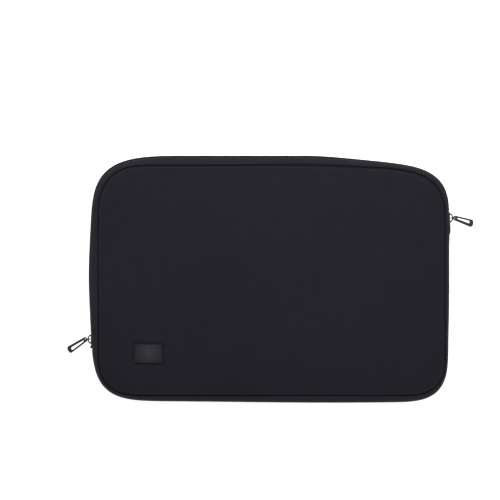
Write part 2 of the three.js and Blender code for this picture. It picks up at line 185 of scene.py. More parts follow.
def lengths_along(points):
    steps = np.linalg.norm(np.diff(points, axis=0), axis=1)
    return np.concatenate([[0], np.cumsum(steps)])


def resampled(points, count):
    """count points evenly spaced along an open line, without its last point."""
    lengths = lengths_along(points)
    places = np.linspace(0, lengths[-1], count + 1)[:-1]
    return read_off(points, lengths, places)


def outline(box):
    """The closed line round the sleeve, anticlockwise from the right side's top end."""
    corners = [
        corner_curve(box, "top_right", True), corner_curve(box, "top_left", False),
        corner_curve(box, "bottom_left", True), corner_curve(box, "bottom_right", False),
    ]
    sides = [LONG_SIDE_POINTS, SHORT_SIDE_POINTS, LONG_SIDE_POINTS, SHORT_SIDE_POINTS]
    parts = []
    for index, (corner, side_points) in enumerate(zip(corners, sides)):
        following = corners[(index + 1) % 4]
        parts.append(resampled(corner, CORNER_POINTS))
        parts.append(resampled(np.stack([corner[-1], following[0]]), side_points))
    points = np.concatenate(parts)
    drop, start, end = box["slope"]
    points[:, 1] -= drop * smoothstep(points[:, 0], start, end) * np.clip(points[:, 1] / box["top"], 0, None)
    return points


def swell(places, amount, middle, reach):
    return amount * bell(places, reach, middle)


def swayed(points):
    """The widest line with the unevenness of a soft, stuffed wall."""
    x, y = points[:, 0], points[:, 1]
    on_left = smoothstep(-x, *LEFT_SPAN)
    on_right = smoothstep(x, *RIGHT_SPAN)
    at_bottom = smoothstep(-y, *BOTTOM_SPAN)
    lean = RIGHT_LEAN * smoothstep(RIGHT_LEAN_START - y, 0, RIGHT_LEAN_REACH)
    moved_x = x - swell(y, *LEFT_SWELL) * on_left + (swell(y, *RIGHT_SWELL) - lean) * on_right
    moved_y = y - swell(x, *BOTTOM_SWELL) * at_bottom
    return np.stack([moved_x, moved_y], 1)


def outward_normals(points):
    along = unit(np.roll(points, -1, 0) - np.roll(points, 1, 0))
    return np.stack([along[:, 1], -along[:, 0]], 1)


EDGE_LINE = swayed(outline(EDGE))
SEAM_LINE = outline(SEAM)
EDGE_NORMALS = outward_normals(EDGE_LINE)
SEAM_NORMALS = outward_normals(SEAM_LINE)
LINE_POINTS = len(EDGE_LINE)


def at_places(values, places):
    """Values of a closed line at fractional places along it."""
    places = np.mod(places, len(values))
    low = np.floor(places).astype(int)
    share = (places - low)[:, None]
    return values[low % len(values)] * (1 - share) + values[(low + 1) % len(values)] * share


def place_at_height(sign, height):
    """The place where the widest line crosses a height on the left (-1) or right (+1) side."""
    following = np.roll(EDGE_LINE, -1, 0)
    crosses = (EDGE_LINE[:, 1] - height) * (following[:, 1] - height) <= 0
    index = int(np.nonzero(crosses & (sign * EDGE_LINE[:, 0] > 0))[0][0])
    start, end = EDGE_LINE[index, 1], following[index, 1]
    return index + (height - start) / (end - start)


def places_between(start, end, spacing=1.0):
    return np.linspace(start, end, max(2, int(round((end - start) / spacing))) + 1)


LEFT_END_PLACE = place_at_height(-1, LEFT_ZIP_END)
RIGHT_END_PLACE = place_at_height(1, RIGHT_ZIP_END)
ZIP_PLACES = places_between(RIGHT_END_PLACE - LINE_POINTS, LEFT_END_PLACE)
LOWER_PLACES = places_between(LEFT_END_PLACE, RIGHT_END_PLACE)


class Rail:
    """The seam and the widest line at a run of places, for sweeping sections along."""

    def __init__(self, places):
        self.seam = at_places(SEAM_LINE, places)
        self.edge = at_places(EDGE_LINE, places)
        self.edge_normal = at_places(EDGE_NORMALS, places)
        self.seam_normal = at_places(SEAM_NORMALS, places)
        self.width = np.linalg.norm(self.edge - self.seam, axis=1)
        self.lengths = lengths_along(self.edge)

    def row(self, out, shift, height, from_seam=False):
        """One line of a sweep: out is 0 on the seam and 1 on the widest line, shift is along the normal."""
        normal = self.seam_normal if from_seam else self.edge_normal
        shift = np.broadcast_to(shift, self.width.shape)[:, None]
        flat = self.seam + (self.edge - self.seam) * out + normal * shift
        return np.column_stack([flat, np.broadcast_to(height, self.width.shape)])

    def from_ends(self):
        """How far each place is from the nearer end of the run."""
        return np.minimum(self.lengths, self.lengths[-1] - self.lengths)


# Meshes ----------

def link_object(name, data):
    holder = bpy.data.objects.new(name, data)
    bpy.context.scene.collection.objects.link(holder)
    return holder


def add_mesh(name, points, faces, material, sharp_angle=50):
    """A piece from points in millimetres, with its faces turned outwards."""
    mesh = bpy.data.meshes.new(name)
    mesh.from_pydata((np.asarray(points, float) * MM).tolist(), [], faces)
    work = bmesh.new()
    work.from_mesh(mesh)
    bmesh.ops.recalc_face_normals(work, faces=work.faces)
    work.to_mesh(mesh)
    work.free()
    mesh.shade_smooth()
    mesh.set_sharp_from_angle(angle=math.radians(sharp_angle))
    mesh.materials.append(material)
    return link_object(name, mesh)


def strip_faces(rows, columns, close_rows, close_columns):
    """Quads between the rows of a sweep, whose points run row by row."""
    faces = []
    for row in range(rows if close_rows else rows - 1):
        low, high = row * columns, (row + 1) % rows * columns
        for column in range(columns if close_columns else columns - 1):
            following = (column + 1) % columns
            faces.append((low + column, low + following, high + following, high + column))
    return faces


def swept_faces(rows, columns, closed_loop=False):
    """Faces of a closed section swept along a run, with capped ends unless the run is a closed loop."""
    faces = strip_faces(rows, columns, True, closed_loop)
    if not closed_loop:
        faces.append(tuple(row * columns for row in range(rows)))
        faces.append(tuple(row * columns + columns - 1 for row in range(rows)))
    return faces


def band(name, rows, material, closed_loop=False):
    faces = swept_faces(len(rows), len(rows[0]), closed_loop)
    return add_mesh(name, np.concatenate(rows), faces, material)


def quads_between(first, second):
    """Quads that join two closed loops of points."""
    return [tuple(face) for face in np.stack([first, np.roll(first, -1), np.roll(second, -1), second], 1)]


def shifted(faces, offset):
    return [tuple(corner + offset for corner in face) for face in faces]


def joined(*shapes):
    points, faces = [], []
    for shape_points, shape_faces in shapes:
        faces += shifted(shape_faces, sum(len(part) for part in points))
        points.append(np.asarray(shape_points, float))
    return np.concatenate(points), faces


def arc(middle, radii, start, end, steps):
    """Points along part of an ellipse, between two angles in degrees."""
    angles = np.radians(np.linspace(start, end, steps + 1))
    return [(middle[0] + radii[0] * math.cos(a), middle[1] + radii[1] * math.sin(a)) for a in angles]


def blended(piece):
    """Bakes the piece's placement into its mesh; it is not bent into the flap here."""
    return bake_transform(piece)


def attach(piece, slot, body, *nodes):
    """Puts a piece on its body, or for the fold bakes its placement into its mesh, and hides the CAD nodes it
    stands for. The slot is not used.
    """
    if body == FOLD:
        blended(piece)
    else:
        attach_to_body(piece, body)
    if nodes:
        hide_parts(*nodes)


def layer_nodes(side, name, *front_parts):
    """The CAD nodes of one layer: several along the front, one on the back."""
    return [f"{name}_{part}" for part in front_parts] if side == "front" else [name]


def panel_nodes(side, layer):
    return layer_nodes(side, f"{side}_{layer}", "lower", "flap")


def zip_nodes(side, layer):
    return layer_nodes(side, f"{layer}_{side}", "flap", "left_end", "right_end")


# Materials ----------

class Shader:
    """A material with a Principled shader, and short ways to add the nodes that feed it."""

    def __init__(self, name, **settings):
        self.material = bpy.data.materials.new(name)
        self.material.use_nodes = True
        self.tree = self.material.node_tree
        self.shader = self.tree.nodes["Principled BSDF"]
        for socket, value in settings.items():
            self.shader.inputs[socket.replace("_", " ")].default_value = value
        self.place = self.add("ShaderNodeTexCoord", "Object", {})

    def add(self, kind, output, inputs, **settings):
        """Adds a node, feeds its inputs by name or number, and returns one of its outputs."""
        node = self.tree.nodes.new(kind)
        for key, value in settings.items():
            setattr(node, key, value)
        for key, value in inputs.items():
            self.feed(node.inputs[key], value)
        return node.outputs[output]

    def feed(self, socket, value):
        if isinstance(value, bpy.types.NodeSocket):
            self.tree.links.new(value, socket)
        else:
            socket.default_value = value

    def math(self, operation, first, second=0.0):
        return self.add("ShaderNodeMath", 0, {0: first, 1: second}, operation=operation)

    def noise(self, scale, detail=3.0):
        inputs = {"Vector": self.place, "Scale": scale, "Detail": detail, "Roughness": 0.5}
        return self.add("ShaderNodeTexNoise", "Fac", inputs)

    def cells(self, scale):
        return self.add("ShaderNodeTexVoronoi", "Distance", {"Vector": self.place, "Scale": scale})

    def along(self, axis):
        """Where the shaded point is along an axis, in metres."""
        return self.add("ShaderNodeSeparateXYZ", axis, {0: self.place})

    def waves(self, pitches):
        """A woven relief from three crossed waves, with one pitch in millimetres along each axis."""
        turns = [
            self.math("MULTIPLY", self.along(axis), 2 * math.pi / (pitch * MM))
            for axis, pitch in enumerate(pitches)
        ]
        total = 0.0
        for axis in range(3):
            sine = self.math("SINE", turns[axis])
            cosine = self.math("COSINE", turns[(axis + 1) % 3])
            total = self.math("ADD", self.math("MULTIPLY", sine, cosine), total)
        return total

    def ramp(self, value, low, high, start=0.3, end=0.7):
        """Goes from colour low to colour high as value goes from start to end."""
        node = self.tree.nodes.new("ShaderNodeValToRGB")
        for element, place, colour in zip(node.color_ramp.elements, (start, end), (low, high)):
            element.position = place
            element.color = (*colour, 1)
        self.feed(node.inputs[0], value)
        return node.outputs[0]

    def mix(self, share, first, second):
        first = (*first, 1) if isinstance(first, tuple) else first
        return self.add("ShaderNodeMix", 2, {0: share, 6: first, 7: second}, data_type="RGBA")

    def height_from_middle(self):
        """How far the shaded point is from the middle of the side wall's height, from 0 to 1 at the seams."""
        above = self.math("SUBTRACT", self.along(2), MID_HEIGHT * MM)
        return self.math("DIVIDE", self.math("ABSOLUTE", above), WALL_RISE * MM)

    def distance_from(self, middle):
        """How far the shaded point is from a point given in millimetres, in metres."""
        inputs = {0: self.place, 1: [value * MM for value in middle]}
        return self.add("ShaderNodeVectorMath", "Value", inputs, operation="DISTANCE")

    def spread(self, value, low, high):
        """Maps 0..1 to low..high."""
        return self.add("ShaderNodeMapRange", "Result", {"Value": value, "To Min": low, "To Max": high})

    def bump(self, height, distance, strength=1.0, before=None):
        inputs = {"Strength": strength, "Distance": distance * MM, "Height": height}
        if before is not None:
            inputs["Normal"] = before
        return self.add("ShaderNodeBump", "Normal", inputs)

    def finish(self, colour, roughness, normal):
        self.feed(self.shader.inputs["Base Color"], colour)
        self.feed(self.shader.inputs["Roughness"], roughness)
        self.feed(self.shader.inputs["Normal"], normal)
        return self.material


def tint(colour, factor):
    return tuple(channel * factor for channel in colour)


def knit_material(name, colour, pitches, relief, sheen, painted_shade_middle=False):
    """Fine jersey knit: a stitch relief, a heathered yarn colour and slow unevenness from handling.

    With the middle option set, the colour is darkened towards the middle of the side wall's height as painted
    shade, where the wall turns to face sideways and less light reaches it.
    """
    shade = Shader(name, Sheen_Weight=sheen, Sheen_Roughness=0.45, Specular_IOR_Level=0.12)
    shade.shader.inputs["Sheen Tint"].default_value = (0.92, 0.9, 1.0, 1)
    yarn = shade.ramp(shade.noise(1500, 2), tint(colour, 0.82), tint(colour, 1.2))
    cloudy = shade.ramp(shade.noise(14, 4), tint(colour, 0.86), tint(colour, 1.16))
    mixed = shade.mix(0.5, yarn, cloudy)
    # Painted shade: the knit darkens along the middle of the side wall's height, where the wall faces
    # sideways.
    if painted_shade_middle:
        edge_share = shade.ramp(shade.height_from_middle(), (0, 0, 0), (1, 1, 1), *WALL_PAINTED_SHADE_SPAN)
        mixed = shade.mix(edge_share, tint(colour, WALL_PAINTED_SHADE), mixed)
    stitches = shade.waves(pitches)
    fibre = shade.bump(shade.noise(2600, 2), 0.03, 0.5)
    relief_normal = shade.bump(stitches, relief, 1.0, fibre)
    roughness = shade.spread(shade.noise(60, 3), 0.78, 0.95)
    return shade.finish(mixed, roughness, relief_normal)


def leather_material(name, colour, highlight_middle, highlight_reach):
    """Pressed leather: pebbled grain with darker valleys, a painted highlight that makes it paler in its
    middle and painted shade that makes it darker towards its rim.
    """
    shade = Shader(name, Specular_IOR_Level=0.04)
    pebbles = shade.cells(1700)
    worn = shade.noise(90, 4)
    grain = shade.ramp(pebbles, tint(colour, 1.15), tint(colour, 0.75), 0.1, 0.6)
    away = shade.math("DIVIDE", shade.distance_from(highlight_middle), highlight_reach * MM)
    # Painted highlight and shade: paler round a point near the label's middle, darker towards its rim.
    painted_highlight_and_shade = shade.ramp(away, tint(colour, 1.9), tint(colour, 0.5), 0.1, 1.1)
    creases = shade.bump(shade.noise(420, 4), 0.05, 0.5)
    normal = shade.bump(shade.math("MULTIPLY", pebbles, -1.0), 0.07, 0.8, creases)
    return shade.finish(shade.mix(0.5, grain, painted_highlight_and_shade), shade.spread(worn, 0.6, 0.75), normal)


def metal_material(name, colour, edge_colour):
    """Black-enamelled die casting: faint brushing, smudged roughness and enamel worn brighter on edges."""
    shade = Shader(name, Metallic=0.15, Specular_IOR_Level=0.3)
    pointed = shade.add("ShaderNodeNewGeometry", "Pointiness", {})
    worn = shade.ramp(pointed, colour, edge_colour, 0.52, 0.62)
    cloudy = shade.ramp(shade.noise(700, 3), tint(colour, 0.8), tint(colour, 1.25))
    mixed = shade.mix(0.35, worn, cloudy)
    roughness = shade.spread(shade.noise(900, 4), 0.38, 0.52)
    scratches = shade.bump(shade.noise(3000, 2), 0.01, 0.4)
    return shade.finish(mixed, roughness, scratches)


def nylon_material(name, colour):
    """Smooth extruded nylon with a slight gloss."""
    shade = Shader(name, Specular_IOR_Level=0.1)
    streaks = shade.ramp(shade.noise(800, 3), tint(colour, 0.8), tint(colour, 1.25))
    normal = shade.bump(shade.noise(2400, 2), 0.01, 0.5)
    return shade.finish(streaks, shade.spread(shade.noise(500), 0.35, 0.5), normal)


def foam_material(name, colour):
    """Foam with small round cells."""
    shade = Shader(name, Specular_IOR_Level=0.15)
    pores = shade.cells(1100)
    walls = shade.ramp(pores, tint(colour, 0.6), tint(colour, 1.15), 0.05, 0.5)
    normal = shade.bump(pores, 0.25, 0.9)
    return shade.finish(walls, shade.spread(pores, 0.95, 0.85), normal)


def floor_material():
    """Matt studio paper."""
    shade = Shader("studio_paper", Specular_IOR_Level=0.0, Emission_Strength=0.55)
    shade.shader.inputs["Emission Color"].default_value = (1, 1, 1, 1)
    paper = shade.ramp(shade.noise(60, 4), (0.88, 0.88, 0.88), (0.9, 0.9, 0.9))
    normal = shade.bump(shade.noise(900, 3), 0.02, 0.3)
    return shade.finish(paper, 0.95, normal)


# The painted shade along the middle of the side wall: the share of the knit's colour kept there, and the
# span, as shares of the wall's half height from its middle, over which it fades out.
WALL_PAINTED_SHADE = 0.5
WALL_PAINTED_SHADE_SPAN = (0.5, 0.75)

OUTER_KNIT = knit_material("outer_knit", (0.0066, 0.0060, 0.0094), (0.9, 1.3, 1.1), 0.05, 0.012)
# The side wall's knit is the cover's knit in a lighter colour, as painted light for the sheen its curved band
# catches. It also carries painted shade along the middle of its height.
WALL_KNIT_PAINTED_LIGHT_AND_SHADE = knit_material("wall_knit_painted_light_and_shade", (0.0086, 0.0075, 0.0112), (0.9, 1.1, 0.9), 0.05, 0.012, True)
LINING_KNIT = knit_material("lining_plush", (0.020, 0.019, 0.022), (1.8, 1.8, 1.8), 0.12, 0.3)
BINDING_WEAVE = knit_material("binding_weave", (0.009, 0.0085, 0.010), (0.7, 0.7, 0.7), 0.08, 0.08)
TAPE_WEAVE = knit_material("tape_weave", (0.010, 0.0095, 0.0115), (0.6, 0.6, 0.8), 0.08, 0.08)
THREAD = knit_material("stitch_thread", (0.012, 0.011, 0.0145), (0.4, 0.4, 0.4), 0.05, 0.15)
FOAM = foam_material("foam_cells", (0.035, 0.034, 0.037))
LEATHER = leather_material("label_leather", (0.0168, 0.0161, 0.0203), LABEL_PAINTED_HIGHLIGHT, LABEL_SIZE[0] / 2)
GUNMETAL = metal_material("gunmetal", (0.0125, 0.0112, 0.014), (0.04, 0.037, 0.043))
COIL_NYLON = nylon_material("coil_nylon", (0.008, 0.008, 0.009))


# Panels ----------

CORE_SHARE = np.array([0.92, 0.89])
KEPT_RING_INSET = 5
OUTER_REACH = 1.15
CROWDING, CROWDING_REACH = 5.0, 3.0
CORNER_CUTS = CORNER_POINTS // 2 + np.cumsum([
    0, CORNER_POINTS + LONG_SIDE_POINTS, CORNER_POINTS + SHORT_SIDE_POINTS, CORNER_POINTS + LONG_SIDE_POINTS])


def shares_crowded_at(places, length, count):
    """count + 1 shares from 0 to 1 of a length, closer together near some places along it."""
    fine = np.linspace(0, 1, 2000)
    density = np.ones_like(fine)
    for place in places:
        density += CROWDING * bell(fine * length, CROWDING_REACH, place)
    total = np.concatenate([[0], np.cumsum((density[1:] + density[:-1]) / 2)])
    return np.interp(np.linspace(0, total[-1], count + 1), total, fine)


class PanelGrid:
    """A quad mesh of a panel: a plain grid in the middle and rings out to the seam line drawn in by rim.

    The grid's lines crowd together where they pass crowded_x and crowded_y.
    """

    def __init__(self, columns, rows, ring_insets, rim, crowded_x=(), crowded_y=()):
        inner = (SEAM_LINE - SEAM_NORMALS * rim)[CORNER_CUTS % LINE_POINTS] * CORE_SHARE
        top_right, top_left, bottom_left, bottom_right = inner
        width, height = bottom_right[0] - bottom_left[0], top_left[1] - bottom_left[1]
        across = shares_crowded_at([x - bottom_left[0] for x in crowded_x], width, columns)
        up = shares_crowded_at([y - bottom_left[1] for y in crowded_y], height, rows)
        line = self.split_line(rim, [1 - across[::-1], 1 - up[::-1], across, up])
        across, up = across[None, :, None], up[:, None, None]
        bottom = bottom_left * (1 - across) + bottom_right * across
        top = top_left * (1 - across) + top_right * across
        core = (bottom * (1 - up) + top * up).reshape(-1, 2)
        index = np.arange(len(core)).reshape(rows + 1, columns + 1)
        border = np.concatenate([
            index[-1, ::-1][:-1], index[::-1, 0][:-1], index[0][:-1], index[:, -1][:-1],
        ])
        reach = np.linalg.norm(line - core[border], axis=1)[:, None]
        rings = [
            line + (core[border] - line) * self.ring_inset(inset, ring_insets, reach) / reach
            for inset in ring_insets
        ]
        self.flat = np.concatenate([core, *rings])
        self.faces = [
            (index[r, c], index[r, c + 1], index[r + 1, c + 1], index[r + 1, c])
            for r in range(rows) for c in range(columns)
        ]
        loops = [border] + [len(core) + len(line) * ring + np.arange(len(line)) for ring in range(len(rings))]
        for first, second in zip(loops, loops[1:]):
            self.faces += quads_between(first, second)
        self.rim_loop = loops[-1]
        self.inset = self.seam_distance()

    @staticmethod
    def ring_inset(inset, ring_insets, reach):
        """Rings near the rim keep their inset, and the others share out what is left of the reach."""
        kept = np.minimum(inset, KEPT_RING_INSET)
        outermost = ring_insets[0] * OUTER_REACH
        return kept + (inset - kept) * (reach - KEPT_RING_INSET) / (outermost - KEPT_RING_INSET)

    @staticmethod
    def split_line(rim, run_shares):
        """The seam line drawn in by rim and cut at the middles of its corners, with points at the shares."""
        drawn_in = SEAM_LINE - SEAM_NORMALS * rim
        runs = []
        for number, shares in enumerate(run_shares):
            end = CORNER_CUTS[number + 1] if number < 3 else CORNER_CUTS[0] + LINE_POINTS
            run = drawn_in[np.arange(CORNER_CUTS[number], end + 1) % LINE_POINTS]
            lengths = lengths_along(run)
            runs.append(read_off(run, lengths, shares[:-1] * lengths[-1]))
        return np.concatenate(runs)

    def seam_distance(self):
        """How far each point is from the seam line."""
        start, step = SEAM_LINE, np.roll(SEAM_LINE, -1, 0) - SEAM_LINE
        nearest = np.full(len(self.flat), np.inf)
        for origin, along in zip(start, step):
            share = np.clip(((self.flat - origin) @ along) / (along @ along), 0, 1)
            gap = np.linalg.norm(self.flat - origin - share[:, None] * along, axis=1)
            nearest = np.minimum(nearest, gap)
        return nearest

    def plate(self, name, low, high, material):
        """A closed sheet between two heights given at the grid's points."""
        count = len(self.flat)
        points = np.concatenate([np.column_stack([self.flat, low]), np.column_stack([self.flat, high])])
        faces = self.faces + shifted(self.faces, count) + quads_between(self.rim_loop, self.rim_loop + count)
        return add_mesh(name, points, faces, material)


COVER_RINGS = [19, 14, 10, 7, 5, 3.8, 3.2, 2.8, 2.4, 1.9, 1.5, 1.15, 0.85, 0.55, 0.25, 0.0]
LAYER_RINGS = [18, 10, 5, 2.5, 1, 0]
COVER_CELLS, LAYER_CELLS = (104, 72), (60, 40)
COVER_GRID = PanelGrid(
    *COVER_CELLS, COVER_RINGS, 0.0,
    [LABEL_MIDDLE[0] + side * LABEL_SIZE[0] / 2 for side in (-1, 1)],
    [LABEL_MIDDLE[1] + side * LABEL_SIZE[1] / 2 for side in (-1, 1)])
LAYER_GRID = PanelGrid(*LAYER_CELLS, LAYER_RINGS, LAYER_RIM)


def front_height(inset):
    return FRONT_EDGE_HEIGHT + FRONT_CROWN * (1 - np.exp(-inset / FRONT_CROWN_REACH))


def back_height(inset):
    return BACK_EDGE_LIFT * np.clip(1 - inset / BACK_LIFT_REACH, 0, None) ** 2


def seam_groove(distance, depth):
    return depth * bell(distance, GROOVE_REACH)


def stitch_dimple(inset):
    """The row of stitches pulls the cover down a little."""
    return STITCH_DIMPLE * bell(inset, STITCH_DIMPLE_REACH, SEAM_STITCH_INSET)


def label_inset(flat):
    """How far inside the label's rounded outline each point is, in the label's own plane."""
    half = np.array(LABEL_SIZE) / 2
    beyond = np.abs(flat) - (half - LABEL_RADIUS)
    outside = np.linalg.norm(np.clip(beyond, 0, None), axis=1)
    return LABEL_RADIUS - outside - np.clip(beyond.max(1), None, 0)


def label_dimple(grid):
    """The label's stitching presses the padding down all round it."""
    turn = math.radians(-LABEL_TILT)
    rotation = np.array([[math.cos(turn), -math.sin(turn)], [math.sin(turn), math.cos(turn)]])
    flat = (grid.flat - np.array(LABEL_MIDDLE)) @ rotation.T
    gap = label_inset(flat) + LABEL_DIMPLE_OUT
    return LABEL_DIMPLE * bell(gap, LABEL_DIMPLE_REACH)


PUFF_LIMIT = 1.0
PUFF_FRAMES = 20
PINNED_INSET = 5.5
CLOTH_SETTINGS = {
    "vertex_group_mass": "pinned", "quality": 4, "mass": 0.4, "tension_stiffness": 25,
    "compression_stiffness": 25, "bending_stiffness": 4, "use_pressure": True, "uniform_pressure_force": 4.0,
}


def puffed_heights(grid):
    """Swells the front cover as cloth held all round its seam, and returns how far each point rises."""
    rest = np.column_stack([grid.flat, front_height(grid.inset)])
    sheet = add_mesh("swelling_sheet", rest, grid.faces, OUTER_KNIT)
    pinned = sheet.vertex_groups.new(name="pinned")
    held = smoothstep(grid.inset, 2 * PINNED_INSET, PINNED_INSET * 0.5)
    for index in np.nonzero(grid.inset < PINNED_INSET)[0]:
        pinned.add([int(index)], 1.0, "REPLACE")
    cloth = sheet.modifiers.new("cloth", "CLOTH")
    for setting, value in CLOTH_SETTINGS.items():
        setattr(cloth.settings, setting, value)
    cloth.settings.effector_weights.gravity = 0
    cloth.collision_settings.use_collision = False
    scene = bpy.context.scene
    for step in range(1, PUFF_FRAMES + 1):
        scene.frame_set(step)
    swollen = sheet.evaluated_get(bpy.context.evaluated_depsgraph_get()).to_mesh()
    moved = np.array([v.co for v in swollen.vertices], float) / MM
    rise = moved[:, 2] - rest[:, 2]
    scene.frame_set(1)
    bpy.data.objects.remove(sheet)
    return PUFF_LIMIT * np.tanh(rise / PUFF_LIMIT) * (1 - held)


WAVE_HEIGHT, WAVE_SIZE, WAVE_SPAN = 0.12, 70, (4, 30)
COVER_RIM_SHARE, COVER_RIM_REACH = 0.4, 3
BACK_GROOVE_SHARE = 0.8
LAYER_ROUNDING, LAYER_ROUNDING_REACH = 0.9, 3


def soft_waviness(grid):
    """Slow unevenness of a padded panel, dying out towards the seam."""
    waves = np.array([noise.noise(Vector((x / WAVE_SIZE, y / WAVE_SIZE, 0))) for x, y in grid.flat])
    return WAVE_HEIGHT * waves * smoothstep(grid.inset, *WAVE_SPAN)


def add_covers(grid, rise):
    inset = grid.inset
    top = front_height(inset) + rise - seam_groove(inset, COVER_GROOVE_DEPTH) - stitch_dimple(inset)
    top -= label_dimple(grid)
    back_groove = seam_groove(inset, COVER_GROOVE_DEPTH * BACK_GROOVE_SHARE)
    low = back_height(inset) + back_groove + stitch_dimple(inset)
    share = COVER_RIM_SHARE + (1 - COVER_RIM_SHARE) * smoothstep(inset, 0, COVER_RIM_REACH)
    thickness = COVER_THICKNESS * share
    heights = {"front": (top - thickness, top), "back": (low, low + thickness)}
    for side, _, body in HALVES:
        cover = grid.plate(f"{side}_cover", *heights[side], OUTER_KNIT)
        attach(cover, "outer_knit", body, *panel_nodes(side, "outer"))


def add_layers(grid):
    """The foam pads and the linings, each a sheet at its depth below the front or above the back."""
    front, back = front_height(grid.inset), back_height(grid.inset)
    rounding_end = LAYER_RIM + LAYER_ROUNDING_REACH
    rounded = LAYER_ROUNDING * (1 - smoothstep(grid.inset, LAYER_RIM, rounding_end))
    foam = {
        "front": (front - FOAM_TOP - FOAM_THICKNESS + rounded, front - FOAM_TOP - rounded),
        "back": (back + FOAM_TOP + rounded, back + FOAM_TOP + FOAM_THICKNESS - rounded),
    }
    lining = {
        "front": (front - LINING_TOP - LINING_THICKNESS, front - LINING_TOP),
        "back": (back + LINING_TOP, back + LINING_TOP + LINING_THICKNESS),
    }
    for side, _, body in HALVES:
        pad = grid.plate(f"{side}_pad", *foam[side], FOAM)
        attach(pad, "foam", body, *panel_nodes(side, "foam"))
    names = {"front": "front_lining", "back": "back_lining_cloth"}
    for side, _, body in HALVES:
        cloth = grid.plate(names[side], *lining[side], LINING_KNIT)
        attach(cloth, "lining", body, *panel_nodes(side, "lining"))


def add_panels():
    """Adds both panels, and returns how far each point of the front cover rises."""
    rise = soft_waviness(COVER_GRID)
    rise = rise + puffed_heights(COVER_GRID)
    add_covers(COVER_GRID, rise)
    add_layers(LAYER_GRID)
    return rise


# Side wall, zip tape, coil and bindings ----------

END_SEAM_DEPTH = 0.8
END_SEAM_REACH = 1.1
END_PLACES = (0.1, 0.2, 0.32, 0.5, 0.75)
CREASE_HEIGHT, CREASE_DEPTH, CREASE_REACH = 65.9, 0.7, 1.0
CREASE_SPAN, CREASE_SPACING = 1.2, 0.12
ANGLE_EASING = 1.7
ZIP_WALL_STEPS, LOWER_WALL_STEPS = 13, 14
INNER_SEAM_ANGLE = 6
HEM_TURNS = (40, 90, 140)
LEAST_DEPTH = 0.01


def wall_row(rail, angle, depth):
    """A line along the wall at an angle round its section: 0 the front seam, 180 the back seam."""
    turn = math.radians(angle)
    out, cosine = math.sin(turn), math.cos(turn)
    height = MID_HEIGHT + (WALL_RISE - depth) * cosine
    shift = -depth * out
    if depth == 0:
        height = height - math.copysign(1, cosine) * seam_groove(rail.width * out, WALL_GROOVE_DEPTH)
        shift = shift - END_SEAM_DEPTH * bell(rail.from_ends(), END_SEAM_REACH) * out
        crease = bell(rail.edge[:, 1], CREASE_REACH, CREASE_HEIGHT) * (rail.edge[:, 0] > 0)
        height = height - math.copysign(1, cosine) * CREASE_DEPTH * crease * math.sin(2 * turn) ** 2
    return rail.row(out, shift, height)


def mirrored(angle, direction):
    """An angle on the wall's front half, or its mirror image on the back half."""
    return angle if direction > 0 else 180 - angle


def eased_angles(end, steps):
    """Angles from a seam to end, closer together near the seam."""
    return [end * (step / steps) ** ANGLE_EASING for step in range(steps + 1)]


def hem_rows(rail, direction):
    """The rounded edge of the zip's mouth, from the wall's outer face to its inner face."""
    rows = []
    for swing in np.radians(HEM_TURNS):
        angle = MOUTH_ANGLE + HEM_SWELL * math.sin(swing)
        depth = WALL_THICKNESS / 2 * (1 - math.cos(swing))
        rows.append(wall_row(rail, mirrored(angle, direction), max(depth, LEAST_DEPTH)))
    return rows


def zip_wall_rows(rail, direction):
    outer = eased_angles(MOUTH_ANGLE, ZIP_WALL_STEPS)
    inner = np.linspace(MOUTH_ANGLE, INNER_SEAM_ANGLE, 5)
    outer_rows = [wall_row(rail, mirrored(angle, direction), 0) for angle in outer]
    inner_rows = [wall_row(rail, mirrored(angle, direction), WALL_THICKNESS) for angle in inner]
    return outer_rows + hem_rows(rail, direction) + inner_rows


def lower_wall_rows(rail):
    first = eased_angles(90, LOWER_WALL_STEPS)
    outer = first + [180 - angle for angle in reversed(first[:-1])]
    inner = np.linspace(180 - INNER_SEAM_ANGLE, INNER_SEAM_ANGLE, 11)
    return [wall_row(rail, angle, 0) for angle in outer] + [
        wall_row(rail, angle, WALL_THICKNESS) for angle in inner]


def with_end_places(places):
    """Adds close places near both ends of a run, where a cross seam dips in."""
    extra = np.array(END_PLACES)
    return np.unique(np.concatenate([places, places.min() + extra, places.max() - extra]))


def add_walls():
    lower = Rail(with_end_places(LOWER_PLACES))
    attach(band("lower_wall", lower_wall_rows(lower), WALL_KNIT_PAINTED_LIGHT_AND_SHADE), "gusset_knit", "back", "lower_gusset")
    crease = place_at_height(1, CREASE_HEIGHT)
    creased = places_between(crease - CREASE_SPAN, crease + CREASE_SPAN, CREASE_SPACING) - LINE_POINTS
    rail = Rail(with_end_places(np.concatenate([ZIP_PLACES, creased])))
    for side, direction, body in HALVES:
        wall = band(f"zip_wall_{side}", zip_wall_rows(rail, direction), WALL_KNIT_PAINTED_LIGHT_AND_SHADE)
        attach(wall, "gusset_knit", body, *zip_nodes(side, "zip_gusset"))


TAPE_START_ANGLE = 34
TAPE_GAP = 0.3
TAPE_EDGE = ((3.7, 3.2), (3.3, 2.4), (2.9, 1.8), (1.7, 1.8))
COIL_STEPS = 7

# A direction that no tube runs along.
TUBE_REFERENCE = (0.31, 0.17, 0.935)


def tape_rows(rail, direction, depth):
    wall_depth = WALL_THICKNESS + TAPE_GAP + depth
    angles = np.linspace(TAPE_START_ANGLE, MOUTH_ANGLE, 4)
    rows = [wall_row(rail, mirrored(angle, direction), wall_depth) for angle in angles]
    for half, edge_depth in TAPE_EDGE:
        rows.append(rail.row(1, -edge_depth - depth, MID_HEIGHT + direction * half))
    return rows


def coil_line(rail, direction):
    return rail.row(1, -COIL_DEPTH, MID_HEIGHT + direction * COIL_HEIGHT)


